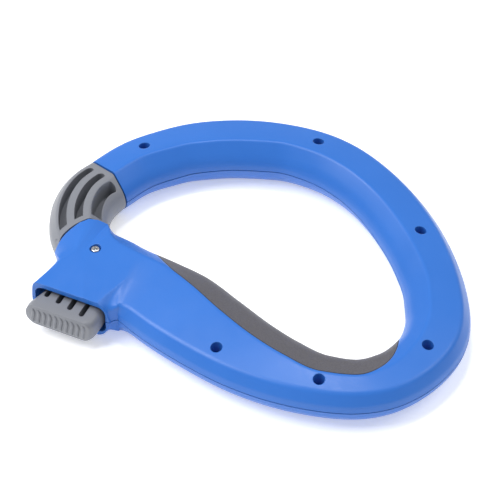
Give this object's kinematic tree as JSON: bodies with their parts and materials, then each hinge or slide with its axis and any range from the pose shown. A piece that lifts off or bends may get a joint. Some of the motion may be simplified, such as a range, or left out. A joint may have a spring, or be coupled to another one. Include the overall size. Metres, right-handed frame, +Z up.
{
  "type": "bag-carrying handle",
  "caption": "Rigid loop handle for carrying shopping bags, with a soft grip pad and a thumb button that opens a curved gate.",
  "frame": {"origin": "under the middle of the loop's bounding box, on the surface that the handle lies on", "axes": "+X along the loop from the thumb button's side to the far end of the grip, +Y across it from the grip to the far run, +Z up from the lower shell to the upper"},
  "size_m": [0.1614, 0.1465, 0.0201],
  "materials": {
    "blue_plastic": "moulded, semi-gloss",
    "soft_pad": "matt soft elastomer",
    "grey_plastic": "moulded, satin",
    "steel": "zinc plated",
    "spring_steel": "drawn wire"
  },
  "bodies": {
    "housing": {"upper_shell": "blue_plastic", "lower_shell": "blue_plastic", "grip_pad": "soft_pad", "pivot_screw": "steel", "pivot_sleeve": "steel", "gate_spring": "spring_steel", "housing_screw_1": "steel", "housing_screw_2": "steel", "housing_screw_3": "steel", "housing_screw_4": "steel", "housing_screw_5": "steel", "housing_screw_6": "steel"},
    "gate": {"gate_lever": "grey_plastic"},
    "button": {"thumb_button": "grey_plastic"}
  },
  "joints": [
    {"name": "gate_hinge", "type": "hinge", "parent": "housing", "child": "gate", "pos_m": [-0.0559, -0.0021, 0.0096], "axis": [0, 0, 1], "range_deg": [0, 24], "stiffness_Nm_per_rad": 0.15, "springref_deg": -20.05},
    {"name": "button_slide", "type": "slide", "parent": "housing", "child": "button", "axis": [0.4226, 0.9063, 0], "range_m": [0, 0.0046]}
  ],
  "couplings": [
    {"joint": "button_slide", "follows": "gate_hinge", "m_per_rad": 0.0107}
  ]
}
